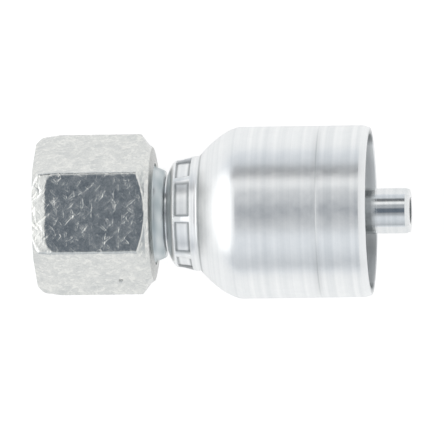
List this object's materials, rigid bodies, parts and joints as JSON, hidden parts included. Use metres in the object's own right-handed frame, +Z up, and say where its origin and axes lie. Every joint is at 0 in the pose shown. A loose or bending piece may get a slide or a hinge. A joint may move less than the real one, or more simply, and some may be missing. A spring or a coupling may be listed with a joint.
{
  "type": "crimp hose fitting",
  "caption": "Zinc-plated steel hydraulic crimp hose fitting: a hexagon swivel nut on a turned stem with a barbed nipple, and a shell that is crimped round the hose.",
  "frame": {"origin": "middle of the fitting's box seen from above, on the surface that it lies on", "axes": "+X along the fitting from the nut to the hose end, whose axis rises by 4.85 degrees towards +X; +Z up; +Y to the side"},
  "size_m": [0.0476, 0.0216, 0.0228],
  "materials": {
    "nut_zinc": "dull zinc plate with fine scratches",
    "spring_wire": "drawn spring steel",
    "stem_zinc": "turned and zinc plated, slightly blue",
    "shell_zinc": "turned and zinc plated, satin"
  },
  "bodies": {
    "stem_and_shell": {"hose_stem": "stem_zinc", "crimp_shell": "shell_zinc"},
    "nut": {"swivel_nut": "nut_zinc", "retaining_wire": "spring_wire"}
  },
  "joints": [
    {"name": "nut_swivel", "type": "hinge", "parent": "stem_and_shell", "child": "nut", "pos_m": [-0.01254, 0, 0.00945], "axis": [0.9964, 0, 0.0846], "continuous": true}
  ]
}
